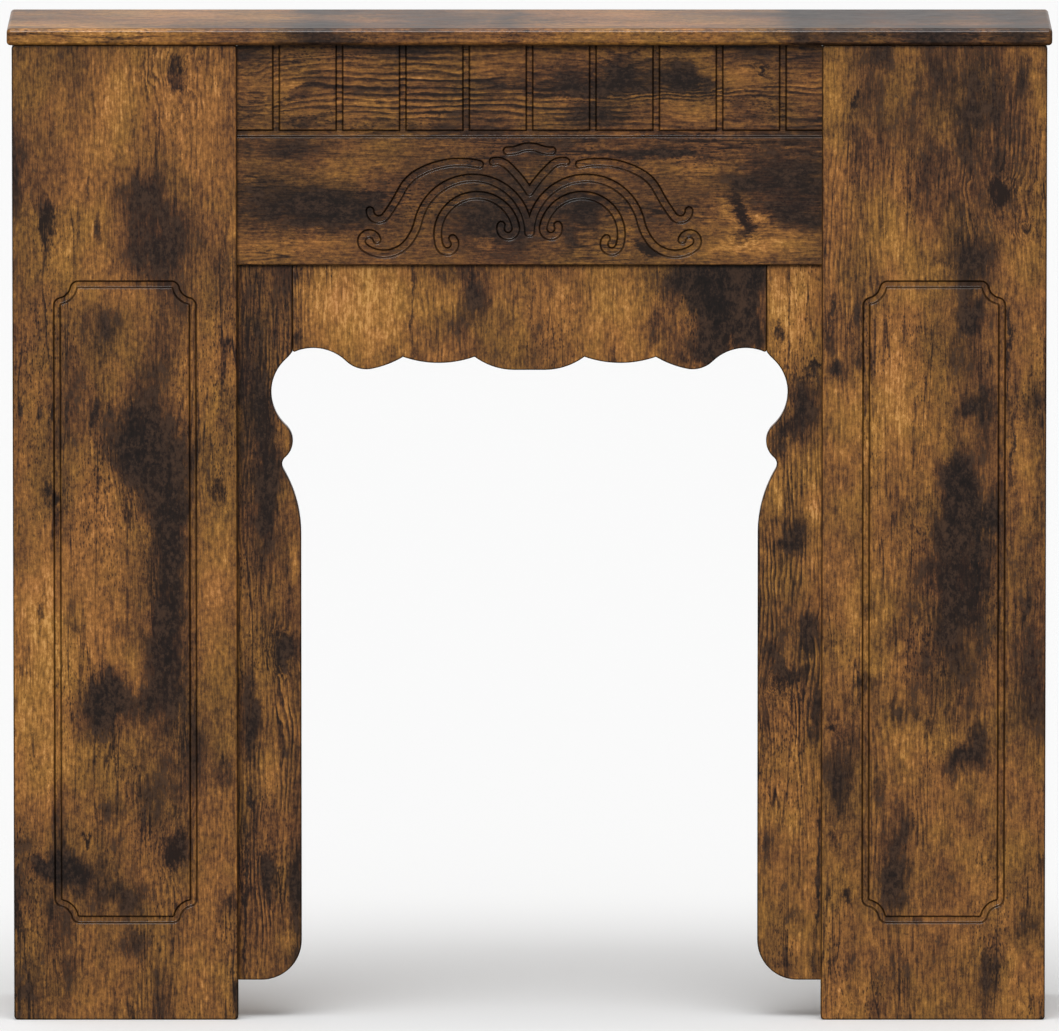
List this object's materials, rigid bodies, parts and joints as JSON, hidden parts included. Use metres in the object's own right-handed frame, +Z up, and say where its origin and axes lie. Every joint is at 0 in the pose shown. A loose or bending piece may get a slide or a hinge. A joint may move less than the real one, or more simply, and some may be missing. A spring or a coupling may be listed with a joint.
{
  "type": "fireplace surround",
  "caption": "Flat-board fireplace surround in printed rustic wood, with a thin mantel shelf, notched panel lines, beaded frieze, routed scroll ornament and a shaped opening.",
  "frame": {"origin": "on the floor, below the middle of the mantel shelf", "axes": "+X to the right as seen from the front, +Y towards the wall, +Z up"},
  "size_m": [1.1, 0.2, 1.055],
  "materials": {
    "shelf_wood": "satin film printed as rustic brown wood with the grain along the shelf",
    "upright_wood": "satin film printed as rustic brown wood with upright grain, knots and dark patches; plain fibreboard on the back",
    "cross_wood": "satin film printed as rustic brown wood with the grain across; plain fibreboard on the back"
  },
  "bodies": {
    "root": {"mantel_shelf": "shelf_wood", "pilaster_left": "upright_wood", "pilaster_right": "upright_wood", "side_panel_left": "upright_wood", "side_panel_right": "upright_wood", "frieze_panel": "cross_wood", "valance": "upright_wood", "jamb_left": "upright_wood", "jamb_right": "upright_wood"}
  },
  "joints": []
}
